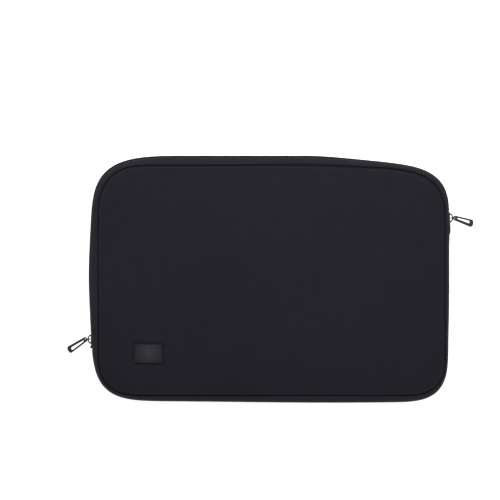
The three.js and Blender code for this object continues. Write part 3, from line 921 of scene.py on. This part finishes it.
def coil_points(rail, direction):
    """A helix along the tape's edge."""
    run = coil_line(rail, direction)
    lengths = lengths_along(run)
    turns = int(lengths[-1] / COIL_PITCH)
    places = np.linspace(0, lengths[-1], turns * COIL_STEPS + 1)
    angle = 2 * math.pi * np.arange(len(places)) / COIL_STEPS
    out = read_off(rail.edge_normal, lengths, places) * (COIL_RADII[0] * np.cos(angle))[:, None]
    return read_off(run, lengths, places) + np.column_stack([out, COIL_RADII[1] * np.sin(angle)])


def tube(points, radius, sides):
    """Points and faces of a round tube along an open line, with capped ends."""
    along = unit(np.gradient(points, axis=0))
    side = unit(np.cross(along, TUBE_REFERENCE))
    up = np.cross(side, along)
    rows = [points + radius * (math.cos(turn) * side + math.sin(turn) * up) for turn in turns_round(sides)]
    return np.concatenate(rows), swept_faces(sides, len(points))


def add_zip():
    rail = Rail(ZIP_PLACES)
    for side, direction, body in HALVES:
        rows = tape_rows(rail, direction, 0) + tape_rows(rail, direction, TAPE_THICKNESS)[::-1]
        tape = band(f"woven_tape_{side}", rows, TAPE_WEAVE)
        attach(tape, "zip_tape", body, *zip_nodes(side, "zip_tape"))
        spiral = tube(coil_points(rail, direction), COIL_WIRE, 5)
        cord = tube(coil_line(rail, direction), COIL_CORD, 8)
        coil = add_mesh(f"coil_{side}", *joined(spiral, cord), COIL_NYLON)
        attach(coil, "zip_coil", body, *zip_nodes(side, "zip_coil"))


BINDING_SHIFT = (-0.2, -2.8)
BINDING_TOP = 3.2
BINDING_HEIGHT = 3.0
BINDING_SIDES, BINDING_SQUARENESS = 12, 0.6


def signed_power(value, power):
    return math.copysign(abs(value) ** power, value)


def binding_rows(rail, direction):
    """A rounded tape section round the seam allowance."""
    middle_shift = sum(BINDING_SHIFT) / 2
    half_shift = (BINDING_SHIFT[0] - BINDING_SHIFT[1]) / 2
    middle = MID_HEIGHT + direction * (WALL_RISE - BINDING_TOP - BINDING_HEIGHT / 2)
    rows = []
    for turn in turns_round(BINDING_SIDES):
        across = signed_power(math.cos(turn), BINDING_SQUARENESS)
        up = signed_power(math.sin(turn), BINDING_SQUARENESS)
        rows.append(rail.row(0, middle_shift + half_shift * across, middle + BINDING_HEIGHT / 2 * up, True))
    return rows


def add_bindings():
    rail = Rail(np.arange(LINE_POINTS))
    for side, direction, body in HALVES:
        ring = band(f"{side}_seam_binding", binding_rows(rail, direction), BINDING_WEAVE, closed_loop=True)
        attach(ring, "binding", body, *panel_nodes(side, "binding"))


# Stitching ----------

# One stitch from end to end: (place along it, width, lift), the last two as shares of the thread and in mm.
STITCH_SIDES = 6
STITCH_PROFILE = (
    (-0.5, 0.45, -0.35), (-0.3, 0.95, 0.02), (0, 1.0, 0.1), (0.3, 0.95, 0.02), (0.5, 0.45, -0.35),
)
HEM_STITCH_DEPTH = 0.02


def stitch_mesh(run, outward, closed, pitch=STITCH_PITCH, length=STITCH_LENGTH, radius=STITCH_RADIUS):
    """Rows of thread stitches along a line, each one sinking into the fabric at its two ends."""
    if closed:
        run, outward = np.vstack([run, run[:1]]), np.vstack([outward, outward[:1]])
    lengths = lengths_along(run)
    count = int(lengths[-1] / pitch)
    starts = (np.arange(count) + 0.5) * lengths[-1] / count
    middle, up = read_off(run, lengths, starts), read_off(outward, lengths, starts)
    along = unit(read_off(run, lengths, starts + 0.5) - read_off(run, lengths, starts - 0.5))
    up = unit(up - along * (up * along).sum(1)[:, None])
    side = np.cross(along, up)
    rings = [
        middle + along * share * length + side * math.cos(turn) * radius * width
        + up * (math.sin(turn) * radius * width + lift)
        for share, width, lift in STITCH_PROFILE for turn in turns_round(STITCH_SIDES)
    ]
    last = STITCH_SIDES * (len(STITCH_PROFILE) - 1)
    single = strip_faces(len(STITCH_PROFILE), STITCH_SIDES, False, True)
    single += [tuple(range(STITCH_SIDES)), tuple(range(last, last + STITCH_SIDES))]
    faces = []
    for number in range(count):
        faces += shifted(single, len(rings) * number)
    return np.stack(rings, 1).reshape(-1, 3), faces


def add_seam_stitches():
    flat = SEAM_LINE - SEAM_NORMALS * SEAM_STITCH_INSET
    inset = np.full(len(flat), SEAM_STITCH_INSET, float)
    sunk = stitch_dimple(inset)
    heights = {"front": front_height(inset) - sunk, "back": back_height(inset) + sunk}
    for side, direction, body in HALVES:
        run = np.column_stack([flat, heights[side]])
        outward = np.tile((0.0, 0.0, direction), (len(flat), 1))
        row = add_mesh(f"{side}_seam_stitches", *stitch_mesh(run, outward, True), THREAD)
        attach(row, "outer_knit", body)


def add_hem_stitches():
    rail = Rail(ZIP_PLACES)
    turn = math.radians(HEM_STITCH_ANGLE)
    for side, direction, body in HALVES:
        run = wall_row(rail, mirrored(HEM_STITCH_ANGLE, direction), HEM_STITCH_DEPTH)
        rise = np.full(len(run), direction * math.cos(turn))
        outward = np.column_stack([rail.edge_normal * math.sin(turn), rise])
        row = add_mesh(f"hem_stitches_{side}", *stitch_mesh(run, outward, False), THREAD)
        attach(row, "gusset_knit", body)


# Zip ends ----------

TAB_POWER, TAB_BULGE = 6, 0.35
STOP_POWER, STOP_SINK = 4, 1.2
PILLOW_STEPS = 10


def bmesh_shape(work):
    """Points and faces of a bmesh, which is freed."""
    points = np.array([v.co for v in work.verts], float)
    faces = [tuple(v.index for v in face.verts) for face in work.faces]
    work.free()
    return points, faces


def pillow(node, power):
    """A soft-edged block that fills a CAD node's box: a cube's faces pushed out to a superellipsoid."""
    low, high = (np.array(corner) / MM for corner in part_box(node))
    work = bmesh.new()
    bmesh.ops.create_cube(work, size=2)
    bmesh.ops.subdivide_edges(work, edges=work.edges, cuts=PILLOW_STEPS, use_grid_fill=True)
    points, faces = bmesh_shape(work)
    scale = (np.abs(points) ** power).sum(1) ** (-1 / power)
    return (low + high) / 2 + points * scale[:, None] * (high - low) / 2, faces


def add_zip_ends():
    for side, sign in SIDES:
        points, faces = pillow(f"zip_end_tab_{side}", TAB_POWER)
        low, high = points[:, 1].min(), points[:, 1].max()
        along = (2 * points[:, 1] - low - high) / (high - low)
        points[:, 0] += sign * TAB_BULGE * (1 - along ** 2).clip(0)
        tab = add_mesh(f"end_tab_{side}", points, faces, BINDING_WEAVE)
        attach(tab, "zip_tab", "back", f"zip_end_tab_{side}")
        clamp, clamp_faces = pillow(f"zip_stop_{side}", STOP_POWER)
        clamp[:, 0] -= sign * STOP_SINK
        stop = add_mesh(f"end_stop_{side}", clamp, clamp_faces, GUNMETAL)
        attach(stop, "zip_stop", "back", f"zip_stop_{side}")


# Sliders, rings and pulls ----------

SLIDER_LENGTH = 13
SLIDER_PLATE = 1.4
SLIDER_DEPTH = 0.7
SLIDER_NOSE, SLIDER_TAIL = 4.4, 3.6
SLIDER_ROUNDNESS, SLIDER_BEVEL = (0.8, 0.9), 0.35
INNER_PLATE_TOP = -4.3
POST_LENGTH_HALF, POST_WIDTH_HALF, POST_SINK, POST_BEVEL = 2.1, 0.9, 0.4, 0.3
FLANGE_SPREAD, FLANGE_LENGTH_HALF, FLANGE_HALF, FLANGE_LOW, FLANGE_BEVEL = 4.1, 2.5, 0.3, -0.9, 0.2
CROWN_HALF, CROWN_HEIGHT, CROWN_WIRE = 4.6, 3.0, 0.8
LINK_RADIUS, LINK_WIRE, LINK_OFFSET = 2.4, 0.6, 0.8
PULL_LENGTH, PULL_THICKNESS, PULL_BEVEL = 25.5, 1.8, 0.25
PULL_EYE, PULL_NEAR_WALL, PULL_BRIDGE = 1.1, 0.9, 2.0
PULL_NEAR_BEND, PULL_NEAR_HALF = 2.6, 2.85
PULL_FAR_BEND, PULL_FAR_HALF, PULL_FAR_BAR = 2.8, 4.3, 4.3
PULL_WIDE_RAIL, PULL_THIN_RAIL = 3.2, 2.2
PULL_SLOT_LOW, PULL_SLOT_HIGH = -0.2, 1.0
SLIDER_X = {"left": -204, "right": 206}
SLIDER_Y = {"left": -69, "right": 70}
DROOP = {"left": 17.5, "right": 27}
YAW = {"left": 32, "right": -15}


def flat_plate(loops, thickness, bevel):
    """A plate with rounded rims from an outer loop and its holes, centred on its own middle plane."""
    curve = bpy.data.curves.new("plate", "CURVE")
    curve.dimensions = "2D"
    curve.fill_mode = "BOTH"
    curve.extrude = (thickness / 2 - bevel) * MM
    curve.bevel_depth = bevel * MM
    curve.bevel_resolution = 3
    curve.offset = -bevel * MM
    for loop in loops:
        spline = curve.splines.new("POLY")
        spline.points.add(len(loop) - 1)
        for point, (x, y) in zip(spline.points, loop):
            point.co = (x * MM, y * MM, 0, 1)
        spline.use_cyclic_u = True
    holder = link_object("plate", curve)
    evaluated = holder.evaluated_get(bpy.context.evaluated_depsgraph_get())
    mesh = evaluated.to_mesh()
    points = np.array([v.co for v in mesh.vertices], float) / MM
    faces = [tuple(face.vertices) for face in mesh.polygons]
    bpy.data.objects.remove(holder)
    return points, faces


def rounded_block(low, high, bevel):
    """A block with bevelled edges."""
    work = bmesh.new()
    bmesh.ops.create_cube(work, size=1)
    low, high = np.array(low, float), np.array(high, float)
    for vert in work.verts:
        vert.co = Vector((low + high) / 2 + np.array(vert.co) * (high - low))
    bmesh.ops.bevel(work, geom=work.edges, offset=bevel, segments=3, affect="EDGES", profile=0.5)
    work.verts.index_update()
    return bmesh_shape(work)


def moved(shape, matrix):
    points, faces = shape
    matrix = np.array(matrix)
    return np.asarray(points, float) @ matrix[:3, :3].T + matrix[:3, 3], faces


def slider_plate():
    """A slider's plate, wider at its nose, lying in the plane of the side wall."""
    half = SLIDER_LENGTH / 2
    across, along = SLIDER_ROUNDNESS
    nose = [
        (SLIDER_NOSE * signed_power(math.cos(turn), across), half * math.sin(turn) ** along)
        for turn in np.linspace(0, math.pi, 21)
    ]
    tail = [
        (-SLIDER_TAIL, -half + 1), (-SLIDER_TAIL + 1, -half),
        (SLIDER_TAIL - 1, -half), (SLIDER_TAIL, -half + 1),
    ]
    plate = flat_plate([nose + tail], SLIDER_PLATE, SLIDER_BEVEL)
    return moved(plate, Matrix.Rotation(math.pi / 2, 4, "Y"))


def crown():
    """The loop on the slider that its link ring hangs from."""
    base, top = SLIDER_DEPTH - CROWN_WIRE, SLIDER_DEPTH + CROWN_HEIGHT
    points = []
    for share in np.linspace(-1, 1, 33):
        away = 1 - (1 - abs(share)) ** 2
        height = top - (top - base) * abs(share) ** 2 * (0.6 + 0.4 * away)
        points.append((height, math.copysign(CROWN_HALF * away, share), 0))
    return tube(np.array(points), CROWN_WIRE, 10)


def slider_shape():
    outer = slider_plate()
    inner = moved(slider_plate(), Matrix.Translation((INNER_PLATE_TOP - SLIDER_PLATE / 2, 0, 0)))
    post_middle = SLIDER_LENGTH / 4
    post = rounded_block(
        (INNER_PLATE_TOP - POST_SINK, post_middle - POST_LENGTH_HALF, -POST_WIDTH_HALF),
        (0, post_middle + POST_LENGTH_HALF, POST_WIDTH_HALF), POST_BEVEL)
    flanges = [
        rounded_block(
            (FLANGE_LOW, -FLANGE_LENGTH_HALF, sign * FLANGE_SPREAD - FLANGE_HALF),
            (SLIDER_DEPTH * 0.6, FLANGE_LENGTH_HALF, sign * FLANGE_SPREAD + FLANGE_HALF), FLANGE_BEVEL)
        for sign in (-1, 1)
    ]
    return joined(outer, inner, post, *flanges, crown())


def ring_shape():
    """A closed wire ring in the XZ plane."""
    sides, around = 12, 40
    angles = turns_round(around)
    rows = []
    for turn in turns_round(sides):
        radius = LINK_RADIUS + LINK_WIRE * math.cos(turn)
        rows.append(np.column_stack([
            LINK_OFFSET + radius * np.cos(angles), np.full(around, LINK_WIRE * math.sin(turn)),
            radius * np.sin(angles)]))
    return np.concatenate(rows), swept_faces(sides, around, True)


def pull_shape():
    """A flat tapered pull with a small eye, and a long slot between a wide rail and a thin one."""
    near_middle = (PULL_NEAR_BEND - PULL_EYE - PULL_NEAR_WALL, 0)
    far_middle = (PULL_LENGTH - PULL_FAR_BEND, 0)
    outer = arc(near_middle, (PULL_NEAR_BEND, PULL_NEAR_HALF), 90, 270, 16)
    outer += arc(far_middle, (PULL_FAR_BEND, PULL_FAR_HALF), -90, 90, 24)
    eye = arc((0, 0), (PULL_EYE, PULL_EYE), 0, 360, 24)[:-1]
    slot_start = PULL_EYE + PULL_BRIDGE
    far_low, far_high = PULL_WIDE_RAIL - PULL_FAR_HALF, PULL_FAR_HALF - PULL_THIN_RAIL
    radius = (far_high - far_low) / 2
    slot_round = (PULL_LENGTH - PULL_FAR_BAR - radius, far_high - radius)
    slot = [(slot_start, PULL_SLOT_LOW), (slot_start, PULL_SLOT_HIGH)]
    slot += arc(slot_round, (radius, radius), 90, -90, 18)
    return flat_plate([outer, eye, slot], PULL_THICKNESS, PULL_BEVEL)


def add_hardware():
    for side, sign in SIDES:
        half_turn = 0 if sign > 0 else math.pi
        body_place = Matrix.Translation((SLIDER_X[side], SLIDER_Y[side], MID_HEIGHT))
        heading = body_place @ Matrix.Translation((sign * (SLIDER_DEPTH + CROWN_HEIGHT), 0, 0))
        body_place = body_place @ Matrix.Rotation(half_turn, 4, "Y")
        heading = heading @ Matrix.Rotation(half_turn, 4, "Z")
        hanging = heading @ Matrix.Rotation(math.radians(DROOP[side]), 4, "Y")
        pull_place = hanging @ Matrix.Translation((LINK_OFFSET + LINK_RADIUS, 0, 0))
        pull_place = pull_place @ Matrix.Rotation(math.radians(YAW[side]), 4, "Z")
        shapes = (
            ("cast_slider", slider_shape(), body_place, "slider", "slider"),
            ("wire_ring", ring_shape(), hanging, "link", "link_ring"),
            ("slotted_pull", pull_shape(), pull_place, "pull", "pull"),
        )
        for name, shape, place, body, node in shapes:
            piece = add_mesh(f"{name}_{side}", *moved(shape, place), GUNMETAL, sharp_angle=40)
            attach(piece, "slider_metal", f"{side}_{body}", f"{side}_{node}")


# Label ----------

LABEL_CELLS = (97, 65)
LABEL_RIM = 0.9
LABEL_FOOT = -1.2
BORDER_DEPTH, BORDER_REACH = 0.3, 0.32
LABEL_STITCH = {"pitch": 1.9, "length": 1.35, "radius": 0.17}
LABEL_STITCH_SINK = 0.28


def cover_height_at(x, y, rise):
    nearest = np.argsort(((COVER_GRID.flat - np.array([x, y])) ** 2).sum(1))[:4]
    return float((front_height(COVER_GRID.inset[nearest]) + rise[nearest]).mean())


def label_grid(half):
    """A grid over the label whose corners are drawn in to its rounded outline."""
    columns, rows = LABEL_CELLS
    across, up = np.meshgrid(np.linspace(-1, 1, columns), np.linspace(-1, 1, rows))
    flat = np.stack([across.ravel() * half[0], up.ravel() * half[1]], 1)
    corner = half - LABEL_RADIUS
    beyond = np.clip(np.abs(flat) - corner, 0, None)
    overshoot = np.maximum(np.linalg.norm(beyond, axis=1) / LABEL_RADIUS, 1)
    return np.sign(flat) * (np.minimum(np.abs(flat), corner) + beyond / overshoot[:, None])


def label_shape(half):
    """The patch: a plate with a rounded rim and a pressed line inside it."""
    flat = label_grid(half)
    inset = label_inset(flat).clip(0)
    rim = LABEL_RIM * (1 - np.sqrt(np.clip(1 - (1 - np.clip(inset / LABEL_RIM, 0, 1)) ** 2, 0, 1)))
    height = LABEL_THICKNESS - rim - BORDER_DEPTH * bell(inset, BORDER_REACH, LABEL_BORDER_INSET)
    count = len(flat)
    foot = np.full(count, LABEL_FOOT)
    columns, rows = LABEL_CELLS
    faces = strip_faces(rows, columns, False, False)
    index = np.arange(count).reshape(rows, columns)
    loop = np.concatenate([index[0, :-1], index[:-1, -1], index[-1, ::-1][:-1], index[::-1, 0][:-1]])
    faces += shifted(faces, count) + quads_between(loop, loop + count)
    return np.concatenate([np.column_stack([flat, foot]), np.column_stack([flat, height])]), faces


def label_stitch_path(half):
    points = []
    radius = LABEL_RADIUS * 0.5
    for sign_x, sign_y, start in ((1, 1, 0), (-1, 1, 90), (-1, -1, 180), (1, -1, 270)):
        middle = (sign_x * (half[0] - radius), sign_y * (half[1] - radius))
        points += arc(middle, (radius, radius), start, start + 90, 5)
    return np.array(points)


def add_label(rise):
    half = np.array(LABEL_SIZE) / 2
    base = cover_height_at(*LABEL_MIDDLE, rise)
    place = Matrix.Translation((*LABEL_MIDDLE, base)) @ Matrix.Rotation(math.radians(LABEL_TILT), 4, "Z")
    patch = add_mesh("blank_leather_patch", *moved(label_shape(half), place), LEATHER)
    attach(patch, "label_leather", "back", "label_patch")
    path = label_stitch_path(half - LABEL_BORDER_INSET)
    run = np.column_stack([path, np.full(len(path), LABEL_THICKNESS - LABEL_STITCH_SINK)])
    outward = np.tile((0.0, 0.0, 1.0), (len(run), 1))
    stitches = stitch_mesh(run, outward, True, **LABEL_STITCH)
    thread = add_mesh("patch_stitches", *moved(stitches, place), THREAD)
    attach(thread, "label_leather", "back")


# Studio ----------

CAMERA_MIDDLE = (-0.02235, 0.0332)
CAMERA_LENS = 150
CAMERA_SENSOR = 36
FRAME_WIDTH = 0.573
FLOOR_HALF, FLOOR_DROP = 6000, 0.4
CLIP_END = 20
SKY_STRENGTH = 0.85
LIGHT_PLACE, LIGHT_TARGET, LIGHT_SIZE, LIGHT_POWER = (0.03, 0.5, 0.8), (0, 0.05, 0), (0.9, 0.5), 11


def add_camera():
    camera = bpy.data.cameras.new("camera")
    camera.lens = CAMERA_LENS
    camera.sensor_width = CAMERA_SENSOR
    camera.clip_end = CLIP_END
    holder = link_object("camera", camera)
    distance = FRAME_WIDTH * CAMERA_LENS / CAMERA_SENSOR
    holder.location = (*CAMERA_MIDDLE, MID_HEIGHT * MM + distance)
    bpy.context.scene.camera = holder


def add_light():
    light = bpy.data.lights.new("overhead", "AREA")
    light.shape = "RECTANGLE"
    light.size, light.size_y = LIGHT_SIZE
    light.energy = LIGHT_POWER
    holder = link_object("overhead", light)
    holder.location = LIGHT_PLACE
    aim = Vector(LIGHT_TARGET) - Vector(LIGHT_PLACE)
    holder.rotation_euler = aim.to_track_quat("-Z", "Y").to_euler()


def add_studio():
    scene = bpy.context.scene
    scene.view_settings.view_transform = "Standard"
    world = bpy.data.worlds.new("studio")
    world.use_nodes = True
    background = world.node_tree.nodes["Background"]
    background.inputs["Color"].default_value = (1, 1, 1, 1)
    background.inputs["Strength"].default_value = SKY_STRENGTH
    scene.world = world
    add_light()
    side, drop = FLOOR_HALF, -FLOOR_DROP
    points = [(-side, -side, drop), (side, -side, drop), (side, side, drop), (-side, side, drop)]
    floor = add_mesh("floor", points, [(0, 1, 2, 3)], floor_material())


add_camera()
add_studio()
panel_rise = add_panels()
add_walls()
add_zip()
add_bindings()
add_seam_stitches()
add_hem_stitches()
add_zip_ends()
add_hardware()
add_label(panel_rise)
